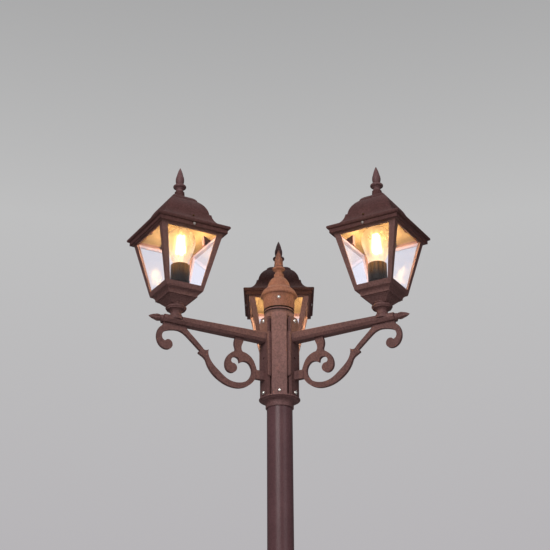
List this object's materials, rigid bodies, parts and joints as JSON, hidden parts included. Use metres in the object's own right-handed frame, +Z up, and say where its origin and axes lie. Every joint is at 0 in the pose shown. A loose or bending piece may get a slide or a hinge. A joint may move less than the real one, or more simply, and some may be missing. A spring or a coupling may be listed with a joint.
{
  "type": "triple head lamp post",
  "caption": "Garden lamp post: a round mast carries a hub with scrolled arms spread evenly around it, each holding an upright glazed lantern with a square roof and a screw-in bulb.",
  "frame": {"origin": "on the ground, at the mast's axis, in the middle of the foot's flat underside", "axes": "+Z up along the mast; one arm points along +Y and the other two lie 120 degrees to each side of it"},
  "size_m": [0.724, 0.627, 2.248],
  "materials": {
    "coat": "semi-gloss textured powder coat",
    "mast_coat": "semi-gloss powder coat",
    "hub_coat": "semi-gloss textured powder coat",
    "roof_coat": "semi-gloss textured powder coat",
    "screw": "bright",
    "steel": "zinc plated",
    "black": "matte moulded",
    "cable": "matte",
    "brass": "plain",
    "pane": "clear",
    "bulb": "clear",
    "bulb_metal": "bright",
    "filament": "glowing"
  },
  "bodies": {
    "post": {"foot_casting": "coat", "foot_grub_screws": "screw", "foot_terminal": "black", "mast_tube": "mast_coat", "supply_lead": "cable", "hub_collar": "hub_coat", "mast_spigot": "steel", "hub_column": "hub_coat", "column_screws": "screw", "hub_terminal": "black", "arm_screws": "screw", "arm_casting_rear": "coat", "arm_scroll_rear": "coat", "arm_lead_rear": "cable", "lantern_pan_rear": "coat", "lantern_fixings_rear": "steel", "lantern_cage_rear": "coat", "glass_panes_rear": "pane", "lampholder_rear": "black", "holder_contacts_rear": "brass", "arm_casting_left": "coat", "arm_scroll_left": "coat", "arm_lead_left": "cable", "lantern_pan_left": "coat", "lantern_fixings_left": "steel", "lantern_cage_left": "coat", "glass_panes_left": "pane", "lampholder_left": "black", "holder_contacts_left": "brass", "arm_casting_right": "coat", "arm_scroll_right": "coat", "arm_lead_right": "cable", "lantern_pan_right": "coat", "lantern_fixings_right": "steel", "lantern_cage_right": "coat", "glass_panes_right": "pane", "lampholder_right": "black", "holder_contacts_right": "brass"},
    "roof_body_rear": {"roof_rear": "roof_coat", "roof_finial_rear": "roof_coat", "roof_screws_rear": "screw"},
    "bulb_body_rear": {"bulb_cap_rear": "bulb_metal", "bulb_glass_rear": "bulb", "bulb_filament_rear": "filament"},
    "roof_body_left": {"roof_left": "roof_coat", "roof_finial_left": "roof_coat", "roof_screws_left": "screw"},
    "bulb_body_left": {"bulb_cap_left": "bulb_metal", "bulb_glass_left": "bulb", "bulb_filament_left": "filament"},
    "roof_body_right": {"roof_right": "roof_coat", "roof_finial_right": "roof_coat", "roof_screws_right": "screw"},
    "bulb_body_right": {"bulb_cap_right": "bulb_metal", "bulb_glass_right": "bulb", "bulb_filament_right": "filament"},
    "cap_body": {"hub_cap": "roof_coat", "cap_screws": "screw", "cap_finial": "roof_coat"}
  },
  "joints": [
    {"name": "roof_lift_rear", "type": "slide", "parent": "post", "child": "roof_body_rear", "axis": [0, 0, 1], "range_m": [0, 0.12]},
    {"name": "bulb_turn_rear", "type": "hinge", "parent": "post", "child": "bulb_body_rear", "pos_m": [0, 0.266, 1.99], "axis": [0, 0, 1], "range_deg": [0, 350]},
    {"name": "roof_lift_left", "type": "slide", "parent": "post", "child": "roof_body_left", "axis": [0, 0, 1], "range_m": [0, 0.12]},
    {"name": "bulb_turn_left", "type": "hinge", "parent": "post", "child": "bulb_body_left", "pos_m": [-0.23036, -0.133, 1.99], "axis": [0, 0, 1], "range_deg": [0, 350]},
    {"name": "roof_lift_right", "type": "slide", "parent": "post", "child": "roof_body_right", "axis": [0, 0, 1], "range_m": [0, 0.12]},
    {"name": "bulb_turn_right", "type": "hinge", "parent": "post", "child": "bulb_body_right", "pos_m": [0.23036, -0.133, 1.99], "axis": [0, 0, 1], "range_deg": [0, 350]},
    {"name": "cap_lift", "type": "slide", "parent": "post", "child": "cap_body", "axis": [0, 0, 1], "range_m": [0, 0.06]}
  ]
}
